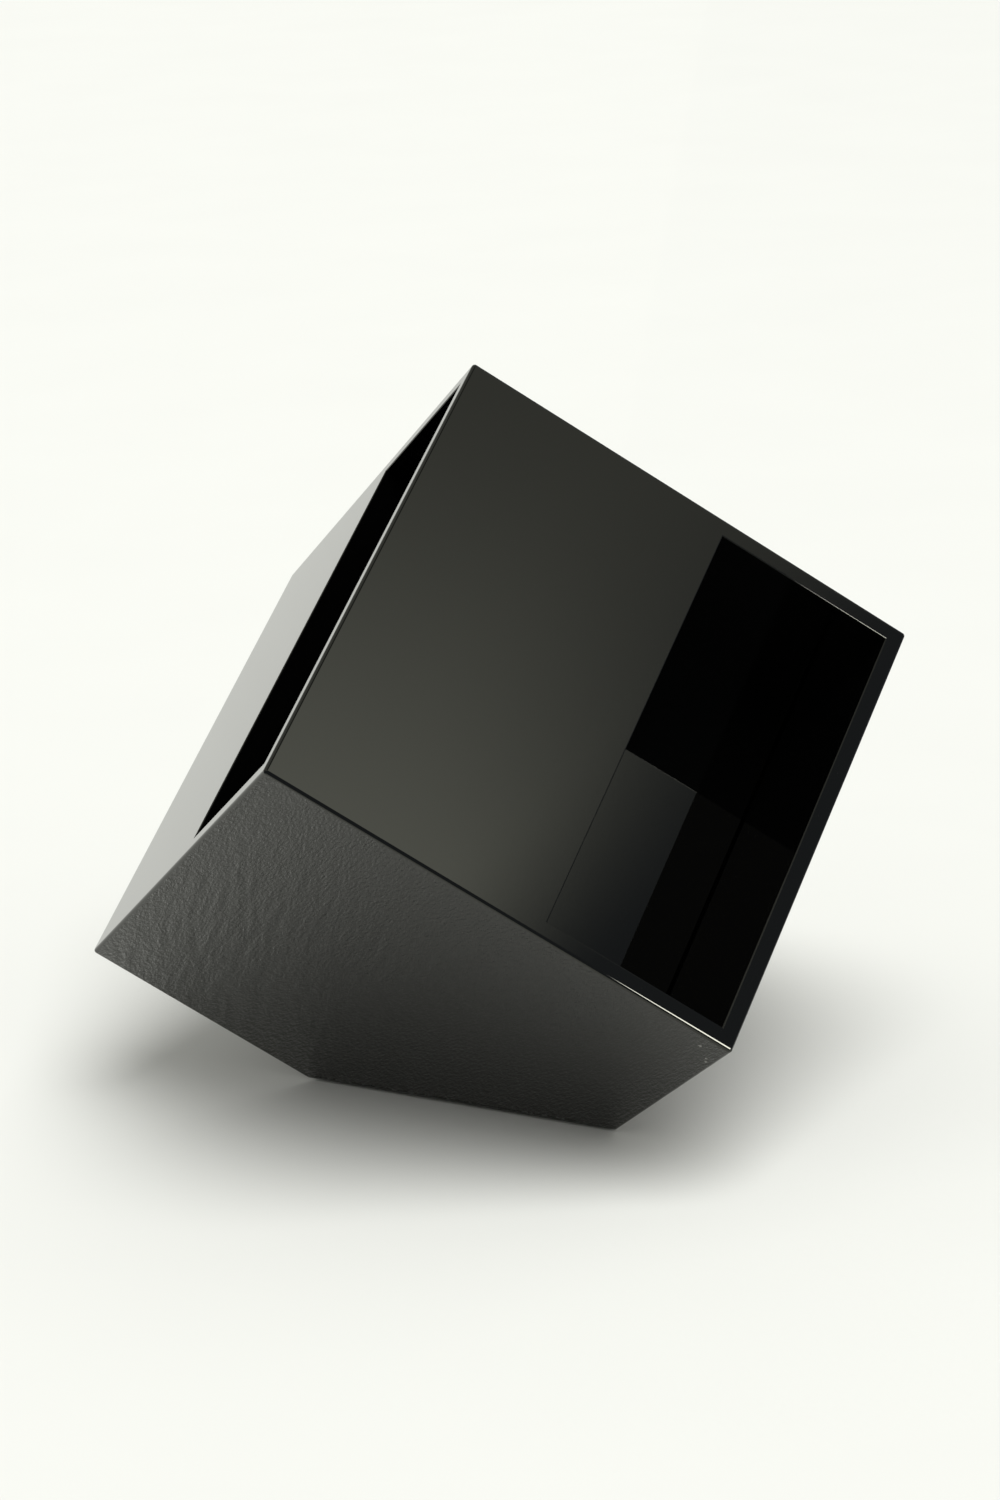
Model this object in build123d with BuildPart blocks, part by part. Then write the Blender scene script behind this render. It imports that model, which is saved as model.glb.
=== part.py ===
"""Black lacquered magazine cube that stands on its cut-off corner.

The cube is glued up from flat boards. Its lower back right corner is cut off square to the body
diagonal, and the cut rests on the floor, so the opposite corner points straight up.

Row frame: the origin is on the floor under the upper corner, +Z is up the body diagonal, and the
face with the large opening looks towards -Y. Lengths are in millimetres.

Boards are named as if the cube stood flat on its lower panel. In that upright frame, called
"cube" below, X runs from the left face to the right face, Y from the front face to the back face
and Z from the lower face to the top face.
"""
from build123d import *
import os
from math import sqrt

# Driving dimensions
side = 450            # outside edge of the cube
board = 16            # thickness of every board
compartment = 174     # clear depth between the front panel and the divider
shadow_gap = 2        # open gap between the divider and the right panel
opening_width = 171   # from the front panel's edge to the right panel
cut_reach = 225       # how much of each of the three lower edges the cut takes away
felt = 3              # thickness of the felt under the base plate
felt_inset = 8        # from the edge of the cut to the edge of the felt
felt_corner = 6       # rounding of the felt's corners
outer_round = 3       # rounding of the cube's edges
rim_round = 1         # rounding of the edges of both openings
cut_round = 1.2       # rounding of the edges of the cut

# Dowels, blind in the face of one board and in the edge of the other
dowel_radius = 4
dowel_length = 30
dowel_in_face = 10
dowel_clearance = 0.05
dowel_end_gap = 1
dowel_chamfer = 1
dowel_margin = 50     # from the end of a joint to its first dowel

# Cleats and screws that hold the base plate
cleat_length = 110
cleat_height = 20
cleat_reach = 50      # from the vertical axis to the cleat's free face
screw_reach = 60      # from the vertical axis to the screw
screw_radius = 2
screw_head_radius = 4
screw_head_height = 2.6
screw_length = 32
screw_point = 4
screw_clearance = 0.05
recess_width = 1
recess_depth = 1.4

# Places along the edges of the upright cube
inner_low = board
inner_high = side - board
divider_front = board + compartment
divider_end = inner_high - shadow_gap
front_panel_end = inner_high - opening_width
lower_edge_end = side - cut_reach
dowel_in_edge = dowel_length - dowel_in_face

# The upright cube tipped over until its body diagonal is vertical
across = Vector(1 / sqrt(2), -1 / sqrt(6), -1 / sqrt(3))
upward = Vector(1 / sqrt(2), 1 / sqrt(6), 1 / sqrt(3))
backward = upward.cross(across)
top_corner = Vector(0, 0, felt + side * sqrt(3) - cut_reach / sqrt(3))
cube = Plane(origin=top_corner - upward * side, x_dir=across, z_dir=upward)

# Sketch planes: X across and Y up on the front face, X backward and Y up on the left face
front_face = Plane(origin=cube.origin, x_dir=across, z_dir=-backward)
left_face = Plane(origin=cube.origin, x_dir=backward, z_dir=across)
cut_face = Plane.XY.offset(felt)

os.makedirs("parts", exist_ok=True)


def save(piece, label):
    """Label a finished piece and write it as one STEP file."""
    piece.part.label = label
    export_step(piece.part, f"parts/{label}.step")


def span(low_x, low_y, high_x, high_y):
    """Rectangle between two corners of the current sketch plane."""
    with Locations(((low_x + high_x) / 2, (low_y + high_y) / 2)):
        Rectangle(high_x - low_x, high_y - low_y)


def spread(low, high, count):
    """Evenly spaced places along a joint that runs from low to high."""
    first = low + dowel_margin
    step = (high - low - 2 * dowel_margin) / (count - 1)
    return [first + index * step for index in range(count)]


def on_face(face):
    """Test for edges that lie in a face of the cube."""
    return lambda edge: face.contains(edge @ 0) and face.contains(edge @ 1)


# ---------------------------------------------------------------- joints between the boards
# Each joint is a plane, its dowels' places in it, and how far they reach behind and before it.
top_joint = cube.offset(inner_high)
lower_joint = cube.offset(inner_low)
right_joint = left_face.offset(inner_high)
left_joint = left_face.offset(board)
back_joint = front_face.offset(-inner_high)
near = board / 2
far = side - board / 2
divider_middle = divider_front + board / 2
up_into_face = (dowel_in_edge, dowel_in_face)
down_into_face = (dowel_in_face, dowel_in_edge)

front_row = [(x, near) for x in spread(0, front_panel_end, 3)]
right_row = [(far, y) for y in spread(0, side, 4)]
back_row = [(x, far) for x in spread(0, inner_high, 4)]
left_row = [(near, y) for y in spread(divider_front, inner_high, 3)]
divider_row = [(x, divider_middle) for x in spread(board, divider_end, 4)]
short_right_row = [(far, y) for y in spread(0, lower_edge_end, 2)]
short_back_row = [(x, far) for x in spread(0, lower_edge_end, 2)]
divider_column = [(divider_middle, z) for z in spread(inner_low + board, inner_high - board, 3)]
left_back_column = [(near, z) for z in spread(inner_low + board, inner_high - board, 3)]
right_back_column = [(far, z) for z in spread(side - cut_reach, inner_high - board, 2)]

joints = {
    "front_top": (top_joint, front_row, up_into_face),
    "right_top": (top_joint, right_row, up_into_face),
    "back_top": (top_joint, back_row, up_into_face),
    "left_top": (top_joint, left_row, up_into_face),
    "divider_top": (top_joint, divider_row, up_into_face),
    "front_lower": (lower_joint, front_row, down_into_face),
    "right_lower": (lower_joint, short_right_row, down_into_face),
    "back_lower": (lower_joint, short_back_row, down_into_face),
    "left_lower": (lower_joint, left_row, down_into_face),
    "divider_lower": (lower_joint, divider_row, down_into_face),
    "divider_left": (left_joint, divider_column, down_into_face),
    "back_right": (right_joint, right_back_column, up_into_face),
    "back_left": (back_joint, left_back_column, down_into_face),
}


def drill(*names):
    """Cut the dowel holes of the named joints out of the current board."""
    for name in names:
        plane, places, (behind, before) = joints[name]
        with BuildSketch(plane.offset(-behind - dowel_end_gap)) as holes:
            with Locations(*places):
                Circle(dowel_radius)
        extrude(holes.sketch, amount=behind + before + 2 * dowel_end_gap, mode=Mode.SUBTRACT)


# ---------------------------------------------------------------- outside shape
# The finished body as it is sanded and lacquered: rounded edges, cut corner, and the front
# compartment with its opening in the front face and its slot in the left face. Each outer board
# is its share of it.
with BuildPart() as body:
    with BuildSketch(cube):
        span(0, 0, side, side)
    extrude(amount=side)
    fillet(body.edges(), outer_round)
    split(bisect_by=cut_face, keep=Keep.TOP)
    fillet(body.faces().sort_by(Axis.Z)[0].edges(), cut_round)
    with BuildSketch(left_face):
        span(board, inner_low, divider_front, inner_high)
    extrude(amount=inner_high, mode=Mode.SUBTRACT)
    slot_rim = body.edges(Select.LAST).filter_by(on_face(left_face))
    with BuildSketch(front_face):
        span(front_panel_end, inner_low, inner_high, inner_high)
    extrude(amount=-board, mode=Mode.SUBTRACT)
    opening_rim = body.edges(Select.LAST).filter_by(on_face(front_face))
    inner_edges = body.edges(Select.LAST).filter_by(on_face(front_face.offset(-board)))
    hidden_arris = inner_edges.filter_by(Axis(cube.origin, upward)).sort_by(Axis(cube.origin, across))[0]
    fillet(slot_rim + opening_rim + hidden_arris, rim_round)

# ---------------------------------------------------------------- the seven boards
# The divider is held on three of its edges and stops short of the right panel.
with BuildPart() as top_panel:
    with BuildSketch(top_joint):
        span(0, 0, side, side)
    extrude(amount=board)
    add(body.part, mode=Mode.INTERSECT)
    drill("front_top", "right_top", "back_top", "left_top", "divider_top")
save(top_panel, "top_panel")

with BuildPart() as lower_panel:
    with BuildSketch(cube):
        span(0, 0, side, side)
    extrude(amount=board)
    add(body.part, mode=Mode.INTERSECT)
    drill("front_lower", "right_lower", "back_lower", "left_lower", "divider_lower")
save(lower_panel, "lower_panel")

with BuildPart() as front_panel:
    with BuildSketch(front_face):
        span(0, inner_low, front_panel_end, inner_high)
    extrude(amount=-board)
    add(body.part, mode=Mode.INTERSECT)
    drill("front_top", "front_lower")
save(front_panel, "front_panel")

with BuildPart() as right_panel:
    with BuildSketch(right_joint):
        span(0, inner_low, side, inner_high)
    extrude(amount=board)
    add(body.part, mode=Mode.INTERSECT)
    drill("right_top", "right_lower", "back_right")
save(right_panel, "right_panel")

with BuildPart() as back_panel:
    with BuildSketch(back_joint):
        span(0, inner_low, inner_high, inner_high)
    extrude(amount=-board)
    add(body.part, mode=Mode.INTERSECT)
    drill("back_top", "back_lower", "back_right", "back_left")
save(back_panel, "back_panel")

with BuildPart() as left_panel:
    with BuildSketch(left_face):
        span(divider_front, inner_low, inner_high, inner_high)
    extrude(amount=board)
    add(body.part, mode=Mode.INTERSECT)
    drill("left_top", "left_lower", "divider_left", "back_left")
save(left_panel, "left_panel")

with BuildPart() as divider:
    with BuildSketch(front_face.offset(-divider_front)):
        span(board, inner_low, divider_end, inner_high)
    extrude(amount=-board)
    drill("divider_top", "divider_lower", "divider_left")
save(divider, "divider")

# ---------------------------------------------------------------- dowels
for name, (plane, places, (behind, before)) in joints.items():
    with BuildPart() as dowels:
        with BuildSketch(plane.offset(-behind)):
            with Locations(*places):
                Circle(dowel_radius - dowel_clearance)
        extrude(amount=behind + before)
        chamfer(dowels.edges().filter_by(GeomType.CIRCLE), dowel_chamfer)
    save(dowels, f"{name}_dowels")

# ---------------------------------------------------------------- base
# Three screws go up through the base plate, each into a cleat glued to one of the three panels
# that meet at the cut corner. Seen from above, the middles of the plate's sides lie at these angles.
base_sides = {"right": -30, "back": 90, "lower": 210}
plate_top = Plane.XY.offset(felt + board)


def inside_of_cube():
    """Keep only what lies between the inner faces of the six outside panels."""
    with BuildSketch(lower_joint) as inner_square:
        span(inner_low, inner_low, inner_high, inner_high)
    extrude(inner_square.sketch, amount=inner_high - inner_low, mode=Mode.INTERSECT)


with BuildPart() as screws:
    for angle in base_sides.values():
        axis_plane = Plane.XZ.rotated((0, 0, angle))
        with BuildSketch(axis_plane):
            with BuildLine():
                Polyline(
                    (screw_reach, felt),
                    (screw_reach + screw_head_radius, felt),
                    (screw_reach + screw_radius, felt + screw_head_height),
                    (screw_reach + screw_radius, felt + screw_length - screw_point),
                    (screw_reach, felt + screw_length),
                    close=True,
                )
            make_face()
        revolve(axis=Axis(axis_plane.from_local_coords((screw_reach, 0, 0)), (0, 0, 1)))
    with BuildSketch(cut_face):
        with PolarLocations(screw_reach, len(base_sides), base_sides["right"]):
            Rectangle(recess_width, screw_head_radius)
            Rectangle(screw_head_radius, recess_width)
    extrude(amount=recess_depth, mode=Mode.SUBTRACT)
save(screws, "base_screws")

with BuildPart() as base_plate:
    with BuildSketch(cut_face):
        Circle(cut_reach)
    extrude(amount=board)
    inside_of_cube()
    with BuildSketch(cut_face):
        with PolarLocations(screw_reach, len(base_sides), base_sides["right"]):
            Circle(screw_head_radius + screw_clearance)
    extrude(amount=screw_head_height, mode=Mode.SUBTRACT)
    with BuildSketch(cut_face):
        with PolarLocations(screw_reach, len(base_sides), base_sides["right"]):
            Circle(screw_radius + screw_clearance)
    extrude(amount=board, mode=Mode.SUBTRACT)
save(base_plate, "base_plate")

for name, angle in base_sides.items():
    with BuildPart() as cleat:
        with BuildSketch(plate_top.rotated((0, 0, angle))):
            span(cleat_reach, -cleat_length / 2, cut_reach, cleat_length / 2)
        extrude(amount=cleat_height)
        inside_of_cube()
        with BuildSketch(plate_top.rotated((0, 0, angle))):
            with Locations((screw_reach, 0)):
                Circle(screw_radius + screw_clearance)
        extrude(amount=screw_length - board + dowel_end_gap, mode=Mode.SUBTRACT)
    save(cleat, f"{name}_cleat")

with BuildPart() as base_felt:
    with BuildSketch() as felt_outline:
        RegularPolygon(cut_reach / sqrt(6) - felt_inset, 3, major_radius=False, rotation=30)
        fillet(felt_outline.vertices(), felt_corner)
    extrude(amount=felt)
save(base_felt, "base_felt")
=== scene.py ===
"""Looks of the black lacquered magazine cube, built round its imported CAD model.

Everything is in metres in the frame of the CAD model: the origin is on the floor under the upper
corner, and the front face with the large opening looks towards -Y.
"""
import random
from math import cos, exp, radians, sin, sqrt, tan

import bmesh
import bpy
from mathutils import Matrix, Vector, noise


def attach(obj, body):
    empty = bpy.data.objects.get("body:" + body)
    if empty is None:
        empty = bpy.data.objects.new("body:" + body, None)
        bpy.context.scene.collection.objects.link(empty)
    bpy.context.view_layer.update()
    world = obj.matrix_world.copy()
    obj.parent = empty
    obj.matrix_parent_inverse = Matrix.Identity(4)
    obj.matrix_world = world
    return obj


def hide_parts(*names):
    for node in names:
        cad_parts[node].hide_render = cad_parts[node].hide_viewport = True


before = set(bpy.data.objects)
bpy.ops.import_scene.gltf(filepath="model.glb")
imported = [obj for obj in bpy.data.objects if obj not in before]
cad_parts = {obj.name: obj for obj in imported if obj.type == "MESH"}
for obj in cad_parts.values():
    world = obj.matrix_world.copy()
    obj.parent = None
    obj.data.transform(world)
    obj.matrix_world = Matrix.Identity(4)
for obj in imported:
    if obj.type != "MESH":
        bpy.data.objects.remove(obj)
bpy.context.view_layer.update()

# ---------------------------------------------------------------- unit and directions
MM = 0.001

# Directions of the edges of the upright cube, tipped with the body diagonal vertical
ACROSS = Vector((1 / sqrt(2), -1 / sqrt(6), -1 / sqrt(3)))
UPWARD = Vector((1 / sqrt(2), 1 / sqrt(6), 1 / sqrt(3)))
BACKWARD = UPWARD.cross(ACROSS)


# ---------------------------------------------------------------- node helpers
def new_material(name):
    """A material with an empty node tree, an output and a Principled shader."""
    material = bpy.data.materials.new(name)
    material.use_nodes = True
    nodes = material.node_tree.nodes
    return material, nodes, material.node_tree.links, nodes["Principled BSDF"]


def noise_node(nodes, links, scale, detail, roughness, stretch=None, space="Object"):
    """Noise in object or UV coordinates, both in metres, stretched if asked: its Fac output."""
    coordinates = nodes.new("ShaderNodeTexCoord")
    texture = nodes.new("ShaderNodeTexNoise")
    texture.inputs["Scale"].default_value = scale
    texture.inputs["Detail"].default_value = detail
    texture.inputs["Roughness"].default_value = roughness
    source = coordinates.outputs[space]
    if stretch is not None:
        mapping = nodes.new("ShaderNodeMapping")
        mapping.vector_type = "POINT"
        mapping.inputs["Scale"].default_value = stretch
        links.new(source, mapping.inputs["Vector"])
        source = mapping.outputs["Vector"]
    links.new(source, texture.inputs["Vector"])
    return texture.outputs["Fac"]


def map_range(nodes, links, value, from_low, from_high, to_low, to_high):
    """Clamped linear map of a value."""
    node = nodes.new("ShaderNodeMapRange")
    node.inputs["From Min"].default_value = from_low
    node.inputs["From Max"].default_value = from_high
    node.inputs["To Min"].default_value = to_low
    node.inputs["To Max"].default_value = to_high
    links.new(value, node.inputs["Value"])
    return node.outputs["Result"]


def bump(nodes, links, height, distance, base=None):
    """Bump from a height in 0..1 worth that distance in metres, over an earlier normal."""
    node = nodes.new("ShaderNodeBump")
    node.inputs["Strength"].default_value = 1
    node.inputs["Distance"].default_value = distance
    links.new(height, node.inputs["Height"])
    if base is not None:
        links.new(base, node.inputs["Normal"])
    return node.outputs["Normal"]


def mix_color(nodes, links, factor, low, high):
    """Colour between two values, low at factor 0 and high at factor 1."""
    node = nodes.new("ShaderNodeMix")
    node.data_type = "RGBA"
    node.inputs["A"].default_value = (*low, 1)
    node.inputs["B"].default_value = (*high, 1)
    links.new(factor, node.inputs["Factor"])
    return node.outputs["Result"]


# ---------------------------------------------------------------- materials
LACQUER_IOR = 1.5
LACQUER_SHEEN = (0.99, 1, 0.9, 1)    # the slightly warm tint of what the lacquer reflects
POLISHED_PEEL = 0.002 * MM           # height of the orange peel left after polishing
POLISHED_WAVE = 0.008 * MM           # height of the longer waves under it
BRUSHED_PEEL = 1.2 * MM              # bump heights of the long peel and of the finer one over it
BRUSHED_FINE = 0.4 * MM


def gloss_lacquer(name):
    """Black high gloss lacquer: faint orange peel, polishing haze and fine dust."""
    material, nodes, links, shader = new_material(name)
    shader.inputs["IOR"].default_value = LACQUER_IOR
    shader.inputs["Specular Tint"].default_value = LACQUER_SHEEN
    dust = map_range(nodes, links, noise_node(nodes, links, 900, 2, 0.6), 0.72, 0.8, 0, 1)
    color = mix_color(nodes, links, dust, (0.0006, 0.0006, 0.0006), (0.02, 0.02, 0.018))
    links.new(color, shader.inputs["Base Color"])
    haze = noise_node(nodes, links, 9, 5, 0.6)
    polish = map_range(nodes, links, haze, 0.3, 0.75, 0.008, 0.025)
    wiped = noise_node(nodes, links, 17, 4, 0.7, stretch=(1, 1.6, 1))
    smear = map_range(nodes, links, wiped, 0.66, 0.76, 0, 0.16)
    total = nodes.new("ShaderNodeMath")
    total.operation = "ADD"
    links.new(polish, total.inputs[0])
    links.new(smear, total.inputs[1])
    links.new(total.outputs["Value"], shader.inputs["Roughness"])
    peel = noise_node(nodes, links, 220, 2, 0.45)
    wave = noise_node(nodes, links, 28, 2, 0.4)
    normal = bump(nodes, links, wave, POLISHED_WAVE)
    links.new(bump(nodes, links, peel, POLISHED_PEEL, base=normal), shader.inputs["Normal"])
    return material


# Chips of an underside: places forward and sideways in metres, and a radius in millimetres
CHIPS = ((0.018, 0.428, 1.6), (0.031, 0.441, 1.2), (0.036, 0.443, 1.4), (0.29, 0.004, 1.3))


def chipped(nodes, links):
    """1 inside the chips, 0 elsewhere, with a ragged edge between."""
    coordinates = nodes.new("ShaderNodeTexCoord")
    ragged = noise_node(nodes, links, 900, 2, 0.5, space="UV")
    edge = map_range(nodes, links, ragged, 0.3, 0.7, 0.5, 1.5)
    worst = None
    for forward, sideways, radius in CHIPS:
        away = nodes.new("ShaderNodeVectorMath")
        away.operation = "DISTANCE"
        away.inputs[1].default_value = (forward, sideways, 0)
        links.new(coordinates.outputs["UV"], away.inputs[0])
        size = nodes.new("ShaderNodeMath")
        size.operation = "MULTIPLY"
        links.new(away.outputs["Value"], size.inputs[0])
        links.new(edge, size.inputs[1])
        hit = map_range(nodes, links, size.outputs["Value"], 0.7 * radius * MM, radius * MM, 1, 0)
        if worst is not None:
            both = nodes.new("ShaderNodeMath")
            both.operation = "MAXIMUM"
            links.new(worst, both.inputs[0])
            links.new(hit, both.inputs[1])
            hit = both.outputs["Value"]
        worst = hit
    return worst


def brushed_lacquer(name):
    """Thick, less polished black lacquer with the long orange peel and chips of the undersides."""
    material, nodes, links, shader = new_material(name)
    shader.inputs["IOR"].default_value = LACQUER_IOR
    shader.inputs["Specular Tint"].default_value = LACQUER_SHEEN
    chips = chipped(nodes, links)
    links.new(mix_color(nodes, links, chips, (0.0012, 0.0013, 0.0012), (0.2, 0.2, 0.19)),
              shader.inputs["Base Color"])
    haze = map_range(nodes, links, noise_node(nodes, links, 25, 4, 0.6), 0.3, 0.7, 0.05, 0.09)
    rough = nodes.new("ShaderNodeMath")
    rough.operation = "MAXIMUM"
    links.new(haze, rough.inputs[0])
    links.new(chips, rough.inputs[1])
    links.new(rough.outputs["Value"], shader.inputs["Roughness"])
    peel = noise_node(nodes, links, 430, 2, 0.5, stretch=(0.33, 1, 1), space="UV")
    fine = noise_node(nodes, links, 800, 2, 0.5, stretch=(0.5, 1, 1), space="UV")
    normal = bump(nodes, links, peel, BRUSHED_PEEL)
    links.new(bump(nodes, links, fine, BRUSHED_FINE, base=normal), shader.inputs["Normal"])
    return material


def plain_wood(name, dark, light, rough):
    """Unfinished wood or fibreboard with a fine grain."""
    material, nodes, links, shader = new_material(name)
    grain = noise_node(nodes, links, 40, 6, 0.65, stretch=(1, 1, 12))
    links.new(mix_color(nodes, links, grain, dark, light), shader.inputs["Base Color"])
    links.new(map_range(nodes, links, grain, 0.3, 0.7, rough - 0.08, rough + 0.08),
              shader.inputs["Roughness"])
    links.new(bump(nodes, links, grain, 0.2 * MM), shader.inputs["Normal"])
    return material


def felt_material(name):
    """Needled black felt."""
    material, nodes, links, shader = new_material(name)
    fibre = noise_node(nodes, links, 600, 5, 0.7)
    links.new(mix_color(nodes, links, fibre, (0.008, 0.008, 0.008), (0.04, 0.04, 0.042)),
              shader.inputs["Base Color"])
    shader.inputs["Roughness"].default_value = 0.95
    shader.inputs["Sheen Weight"].default_value = 0.3
    links.new(bump(nodes, links, fibre, 0.6 * MM), shader.inputs["Normal"])
    return material


def zinc_steel(name):
    """Zinc plated screw steel with faint stains."""
    material, nodes, links, shader = new_material(name)
    stain = noise_node(nodes, links, 300, 3, 0.5)
    links.new(mix_color(nodes, links, stain, (0.5, 0.48, 0.4), (0.66, 0.64, 0.58)),
              shader.inputs["Base Color"])
    shader.inputs["Metallic"].default_value = 1.0
    links.new(map_range(nodes, links, stain, 0.3, 0.7, 0.25, 0.4), shader.inputs["Roughness"])
    return material


def paint_nodes(material, *names):
    """Give CAD nodes a material."""
    for name in names:
        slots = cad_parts[name].data.materials
        slots.clear()
        slots.append(material)


lacquer = gloss_lacquer("black_gloss_lacquer")
brushed = brushed_lacquer("black_brushed_lacquer")
primer = plain_wood("black_sealed_board", (0.012, 0.012, 0.012), (0.03, 0.03, 0.03), 0.6)
beech = plain_wood("beech_wood", (0.5, 0.3, 0.16), (0.72, 0.5, 0.32), 0.6)
pine = plain_wood("pine_wood", (0.6, 0.4, 0.2), (0.8, 0.6, 0.36), 0.6)
felt = felt_material("black_felt")
steel = zinc_steel("zinc_steel")

dowel_names = [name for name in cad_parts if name.endswith("_dowels")]
cleat_names = [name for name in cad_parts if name.endswith("_cleat")]
paint_nodes(lacquer, "top_panel", "front_panel", "left_panel", "divider")
paint_nodes(primer, "base_plate")
paint_nodes(felt, "base_felt")
paint_nodes(steel, "base_screws")
paint_nodes(beech, *dowel_names)
paint_nodes(pine, *cleat_names)


# ---------------------------------------------------------------- relief of the three undersides
GRID = 2 * MM              # spacing of the points that carry the relief
BORDER = 12 * MM           # the relief dies out over this distance from the face's outline
RUN_HEIGHT = 0.7 * MM      # runs of thick lacquer
WAVE_HEIGHT = 0.12 * MM    # short waves between them
RUN_LENGTH = 40 * MM       # length of a run, and its distance from the next
RUN_SPACING = 5.5 * MM
RUN_SLANT = 0.18           # how far the runs move sideways for each step forward
RUN_REACH = 350 * MM       # distance over which the runs go from thin to thick
WAVE_LENGTH = 20 * MM
WAVE_SPACING = 8 * MM
NIBS = 14                  # specks caught in the lacquer of a face
NIB_SIZES = (1.2, 2.4)     # least and greatest size and rise of a speck, in millimetres
NIB_RISES = (0.06, 0.16)
FLAT = 0.001 * MM          # points this near to a face's level belong to it
OUTLINE_DIGITS = 6         # decimals of a metre to which two points agree if they are one point
BOARD_DIGITS = 7


def lacquer_height(forward, sideways):
    """Height of the runs and waves at a place measured from the face's lowest corner.

    The runs lie nearly forward, and are thickest far forward and near the low side. The last
    number of each place in the noise only keeps the four patterns apart.
    """
    slanted = sideways - RUN_SLANT * forward
    bend = noise.noise(Vector((forward / (80 * MM), slanted / (50 * MM), 3.1)))
    runs = noise.noise(Vector((forward / RUN_LENGTH, slanted / RUN_SPACING + 1.1 * bend, 0.4)))
    patches = noise.noise(Vector((forward / (90 * MM), sideways / (60 * MM), 7.7)))
    thick = min(max(0.5 + (forward - sideways) / RUN_REACH + 0.8 * patches, 0.06), 1)
    waves = noise.noise(Vector((forward / WAVE_LENGTH, slanted / WAVE_SPACING, 5.3)))
    return RUN_HEIGHT * runs * thick + WAVE_HEIGHT * waves


def outline_of(mesh, faces):
    """A new bmesh holding only the outline of some coplanar faces, and its corners in order."""
    patch = bmesh.new()
    made = {}
    for face in faces:
        for index in face.vertices:
            co = mesh.vertices[index].co
            made.setdefault(co.to_tuple(OUTLINE_DIGITS), co.copy())
    verts = {key: patch.verts.new(co) for key, co in made.items()}
    for face in faces:
        keys = [mesh.vertices[index].co.to_tuple(OUTLINE_DIGITS) for index in face.vertices]
        patch.faces.new([verts[key] for key in keys])
    bmesh.ops.dissolve_faces(patch, faces=patch.faces[:])
    whole = patch.faces[:][0]
    corners = [vertex.co.copy() for vertex in whole.verts]
    bmesh.ops.delete(patch, geom=[whole], context="FACES_ONLY")
    return patch, corners


def raise_lacquer(vertices, places, corner, outward, forward, depth, seed):
    """Lift points by the runs, waves and specks, and less and less towards the outline.

    The specks lie on some of the places, and the corner is the lowest one of the face.
    """
    sideways = outward.cross(forward)
    low_f, low_s = corner
    draw = random.Random(seed)
    nibs = [(draw.choice(places), draw.uniform(*NIB_SIZES) * MM, draw.uniform(*NIB_RISES) * MM)
            for _ in range(NIBS)]
    for vertex in vertices:
        away = depth(vertex.co)
        height = lacquer_height(vertex.co.dot(forward) - low_f, vertex.co.dot(sideways) - low_s)
        height += sum(rise * exp(-(vertex.co - place).length_squared / size ** 2)
                      for place, size, rise in nibs)
        vertex.co += outward * height * min((away - GRID) / BORDER, 1)


def relief_patch(mesh, faces, outward, forward, seed):
    """Fine grid inside the outline of some coplanar faces, raised by the lacquer's relief."""
    patch, corners = outline_of(mesh, faces)
    middle = sum(corners, Vector()) / len(corners)
    sides = []
    for start, end in zip(corners, corners[1:] + corners[:1]):
        inward = outward.cross(end - start).normalized()
        sides.append((start, inward if (middle - start).dot(inward) > 0 else -inward))

    def depth(point):
        return min((point - start).dot(inward) for start, inward in sides)

    sideways = outward.cross(forward)
    low_f, low_s = (min(corner.dot(axis) for corner in corners) for axis in (forward, sideways))
    high_f, high_s = (max(corner.dot(axis) for corner in corners) for axis in (forward, sideways))
    level = middle.dot(outward)
    inside = {}
    for row in range(int((high_f - low_f) / GRID) + 1):
        for column in range(int((high_s - low_s) / GRID) + 1):
            place = (low_f + row * GRID) * forward + (low_s + column * GRID) * sideways
            place += level * outward
            if depth(place) > GRID:
                inside[row, column] = place
    grid = {}
    for row, column in inside:
        ring = [(row, column), (row + 1, column), (row + 1, column + 1), (row, column + 1)]
        if all(key in inside for key in ring):
            for key in ring:
                if key not in grid:
                    grid[key] = patch.verts.new(inside[key])
            patch.faces.new([grid[key] for key in ring])
    rim = [edge for edge in patch.edges if len(edge.link_faces) < 2]
    bmesh.ops.triangle_fill(patch, use_beauty=True, edges=rim, normal=outward)

    raise_lacquer(grid.values(), list(inside.values()), (low_f, low_s), outward, forward, depth, seed)
    patch.normal_update()
    for face in patch.faces:
        if face.normal.dot(outward) < 0:
            face.normal_flip()
    patch.normal_update()
    return patch, set(grid.values())


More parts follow.
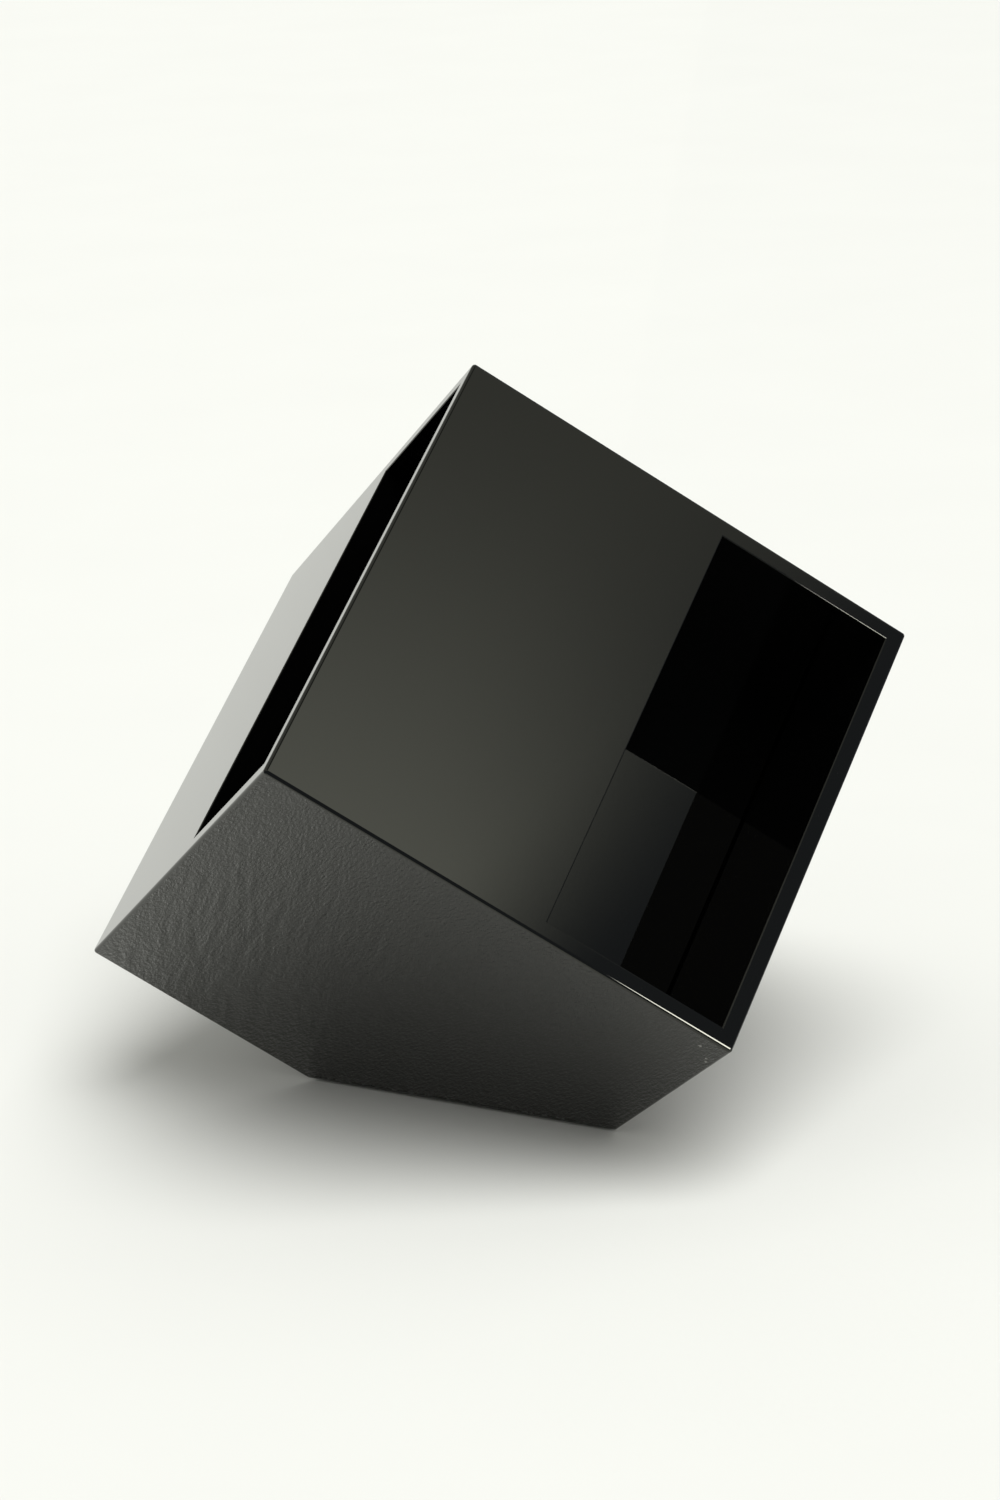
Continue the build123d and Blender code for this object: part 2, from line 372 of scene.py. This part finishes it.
def underside(node, outward, forward, seed):
    """Board with its outer face in relief, standing for its CAD node."""
    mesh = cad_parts[node].data
    reach = max(vertex.co.dot(outward) for vertex in mesh.vertices)
    flat = [face for face in mesh.polygons
            if all(reach - mesh.vertices[index].co.dot(outward) < FLAT for index in face.vertices)]
    patch, raised = relief_patch(mesh, flat, outward, forward, seed)

    points = []
    number = {}
    faces = []
    normals = []

    def point_number(co):
        key = co.to_tuple(BOARD_DIGITS)
        if key not in number:
            number[key] = len(points)
            points.append(co.copy())
        return number[key]

    skipped = {face.index for face in flat}
    for face in mesh.polygons:
        if face.index not in skipped:
            faces.append([point_number(mesh.vertices[index].co) for index in face.vertices])
            normals += [mesh.corner_normals[loop].vector.copy() for loop in face.loop_indices]
    for face in patch.faces:
        faces.append([point_number(vertex.co) for vertex in face.verts])
        normals += [vertex.normal.copy() if vertex in raised else outward for vertex in face.verts]
    patch.free()

    name = node + "_relief"
    board = bpy.data.meshes.new(name)
    board.from_pydata(points, [], faces)
    board.shade_smooth()
    board.normals_split_custom_set(normals)
    sideways = outward.cross(forward)
    corner = Vector([min(co.dot(axis) for co in points) for axis in (forward, sideways)])
    places = board.uv_layers.new(name="face").uv
    for loop in board.loops:
        co = points[loop.vertex_index]
        places[loop.index].vector = Vector((co.dot(forward), co.dot(sideways))) - corner
    board.materials.append(lacquer)
    board.materials.append(brushed)
    for face in board.polygons[len(mesh.polygons) - len(flat):]:
        face.material_index = 1
    piece = bpy.data.objects.new(name, board)
    bpy.context.scene.collection.objects.link(piece)
    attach(piece, "root")
    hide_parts(node)


underside("lower_panel", -UPWARD, BACKWARD, seed=1)
underside("right_panel", ACROSS, BACKWARD, seed=2)
underside("back_panel", BACKWARD, ACROSS, seed=3)


# ---------------------------------------------------------------- camera
def direction(azimuth, elevation):
    """Unit vector towards an azimuth, 0 at -Y and 90 at +X, and an elevation, in degrees."""
    flat = cos(radians(elevation))
    return Vector((sin(radians(azimuth)) * flat,
                   -cos(radians(azimuth)) * flat,
                   sin(radians(elevation))))


def add_camera(azimuth, elevation, distance, target, roll, lens):
    """Camera aimed at a point, rolled clockwise by some degrees."""
    data = bpy.data.cameras.new("camera")
    data.lens = lens
    data.sensor_width = 36
    data.clip_start = 0.1
    data.clip_end = 100
    camera = bpy.data.objects.new("camera", data)
    bpy.context.scene.collection.objects.link(camera)
    back = direction(azimuth, elevation)
    aim = back.to_track_quat("Z", "Y").to_matrix().to_4x4()
    turn = Matrix.Rotation(radians(-roll), 4, "Z")
    place = Matrix.Translation(Vector(target) + back * distance)
    camera.matrix_world = place @ aim @ turn
    bpy.context.scene.camera = camera


add_camera(azimuth=-30.1, elevation=16.95, distance=3.376, target=(0.0055, -0.003, 0.304), roll=2.7,
           lens=91.62)


# ---------------------------------------------------------------- floor, room and lights
def floor_material():
    """Pale matt floor with a barely visible mottle."""
    material, nodes, links, shader = new_material("pale_floor")
    mottle = noise_node(nodes, links, 3, 4, 0.5)
    links.new(mix_color(nodes, links, mottle, (0.655, 0.655, 0.655), (0.675, 0.675, 0.675)),
              shader.inputs["Base Color"])
    shader.inputs["Roughness"].default_value = 0.8
    shader.inputs["Specular IOR Level"].default_value = 0.1
    return material


def add_floor(half_size):
    """Flat square floor at height 0, so wide that its edge isn't seen."""
    mesh = bpy.data.meshes.new("floor")
    corners = [(x * half_size, y * half_size, 0) for x, y in ((-1, -1), (1, -1), (1, 1), (-1, 1))]
    mesh.from_pydata(corners, [], [(0, 1, 2, 3)])
    mesh.materials.append(floor_material())
    floor = bpy.data.objects.new("floor", mesh)
    bpy.context.scene.collection.objects.link(floor)


def set_world(color, strength):
    """Even soft light from all round."""
    world = bpy.data.worlds.new("studio")
    world.use_nodes = True
    background = world.node_tree.nodes["Background"]
    background.inputs["Color"].default_value = (*color, 1)
    background.inputs["Strength"].default_value = strength
    bpy.context.scene.world = world


def fading_emission(name, color, strength, cover_of):
    """Emission that turns clear where the cover, a function of the object coordinates, is 0."""
    material = bpy.data.materials.new(name)
    material.use_nodes = True
    nodes = material.node_tree.nodes
    links = material.node_tree.links
    nodes.clear()
    output = nodes.new("ShaderNodeOutputMaterial")
    emission = nodes.new("ShaderNodeEmission")
    clear = nodes.new("ShaderNodeBsdfTransparent")
    blend = nodes.new("ShaderNodeMixShader")
    coordinates = nodes.new("ShaderNodeTexCoord")
    emission.inputs["Color"].default_value = (*color, 1)
    emission.inputs["Strength"].default_value = strength
    cover = cover_of(nodes, links, coordinates.outputs["Object"])
    cover.node.interpolation_type = "SMOOTHSTEP"
    links.new(cover, blend.inputs["Fac"])
    links.new(clear.outputs["BSDF"], blend.inputs[1])
    links.new(emission.outputs["Emission"], blend.inputs[2])
    links.new(blend.outputs["Shader"], output.inputs["Surface"])
    return material


def only_in_reflections(name, mesh, place):
    """Put up a part of the studio that the lacquer reflects and nothing else sees."""
    thing = bpy.data.objects.new(name, mesh)
    bpy.context.scene.collection.objects.link(thing)
    thing.matrix_world = place
    thing.visible_camera = False
    thing.visible_diffuse = False
    thing.visible_shadow = False


FACE_CENTRE = Vector((0, -0.184, 0.39))
FRONT_CORNER = Vector((0.19, -0.2, 0.13))    # the right end of the edge under the front face
FAR = 30                   # distance at which a card looks the same from the whole object
CARD_POINTS = 64
ROOM_STEPS = 48            # flat pieces of the dark wall
ROOM_FLOOR = 4 * MM        # height of the dark floor over the pale one


def add_card(name, azimuth, elevation, distance, width, height, color, strength, edge,
             turn=0, seen_from=FACE_CENTRE):
    """Oval card of that width and height in degrees as seen from a point, fading out at its rim."""
    def cover(nodes, links, place):
        length = nodes.new("ShaderNodeVectorMath")
        length.operation = "LENGTH"
        links.new(place, length.inputs[0])
        return map_range(nodes, links, length.outputs["Value"], 1 - edge, 1, 1, 0)

    mesh = bpy.data.meshes.new(name)
    card = bmesh.new()
    bmesh.ops.create_circle(card, cap_ends=True, segments=CARD_POINTS, radius=1)
    card.to_mesh(mesh)
    card.free()
    mesh.materials.append(fading_emission(name, color, strength, cover))
    towards = direction(azimuth, elevation)
    aim = (-towards).to_track_quat("Z", "Y").to_matrix().to_4x4()
    turned = Matrix.Rotation(radians(turn), 4, "Z")
    half_width, half_height = (distance * tan(radians(size / 2)) for size in (width, height))
    oval = Matrix.Diagonal((half_width, half_height, 1, 1))
    place = Matrix.Translation(seen_from + towards * distance)
    only_in_reflections(name, mesh, place @ aim @ turned @ oval)


def add_dark_room(first, last, floor_from, distance, top, fade, color, strength):
    """Dark floor and wall on the camera's side, from one azimuth to another.

    The floor starts at floor_from and the wall stands at distance from the vertical axis. The
    wall's top edge is seen at the elevation top, and fades out over fade degrees each way.
    """
    low, high = (distance * tan(radians(top + side * fade)) for side in (-1, 1))

    def cover(nodes, links, place):
        height = nodes.new("ShaderNodeSeparateXYZ")
        links.new(place, height.inputs["Vector"])
        return map_range(nodes, links, height.outputs["Z"], low, high, 1, 0)

    profile = ((floor_from, ROOM_FLOOR), (distance, ROOM_FLOOR), (distance, high))
    points = []
    for index in range(ROOM_STEPS + 1):
        ray = direction(first + (last - first) * index / ROOM_STEPS, 0)
        points += [(ray.x * reach, ray.y * reach, height) for reach, height in profile]
    faces = []
    for index in range(ROOM_STEPS):
        for row in range(len(profile) - 1):
            here = index * len(profile) + row
            beside = here + len(profile)
            faces.append((here, here + 1, beside + 1, beside))
    mesh = bpy.data.meshes.new("dark_room")
    mesh.from_pydata(points, [], faces)
    mesh.materials.append(fading_emission("dark_room", color, strength, cover))
    only_in_reflections("dark_room", mesh, Matrix.Identity(4))


def add_overhead_light(azimuth, elevation, spread, color, strength):
    """Soft main light that casts the shadow and isn't seen in the lacquer."""
    data = bpy.data.lights.new("overhead", "SUN")
    data.energy = strength
    data.color = color
    data.angle = radians(spread)
    lamp = bpy.data.objects.new("overhead", data)
    bpy.context.scene.collection.objects.link(lamp)
    lamp.matrix_world = direction(azimuth, elevation).to_track_quat("Z", "Y").to_matrix().to_4x4()
    lamp.visible_glossy = False


DARK = (0.172, 0.188, 0.216)
WARM_WHITE = (1.0, 1.01, 0.93)

add_floor(half_size=60)
set_world(WARM_WHITE, strength=0.61)
add_overhead_light(azimuth=0, elevation=67, spread=45, color=(1.0, 1.01, 0.965), strength=2.95)
add_card("glow", azimuth=30, elevation=42, distance=1.5 * FAR, width=27.5, height=27.5,
         color=WARM_WHITE, strength=2.28, edge=1)
add_dark_room(first=-115, last=145, floor_from=0.8, distance=FAR, top=41.1, fade=1.5,
              color=DARK, strength=1)
add_card("flag", azimuth=46.4, elevation=37, distance=FAR - 2, width=18, height=18,
         color=DARK, strength=1, edge=1)
add_card("ceiling", azimuth=26, elevation=67, distance=FAR - 4, width=28, height=24,
         color=(0.18, 0.18, 0.18), strength=0.6, edge=0.3)
add_card("strobe", azimuth=8, elevation=20.5, distance=1.6, width=34, height=21,
         color=(1.0, 0.98, 0.93), strength=25, edge=0.1, turn=-37, seen_from=FRONT_CORNER)
bpy.context.scene.view_settings.view_transform = "Standard"
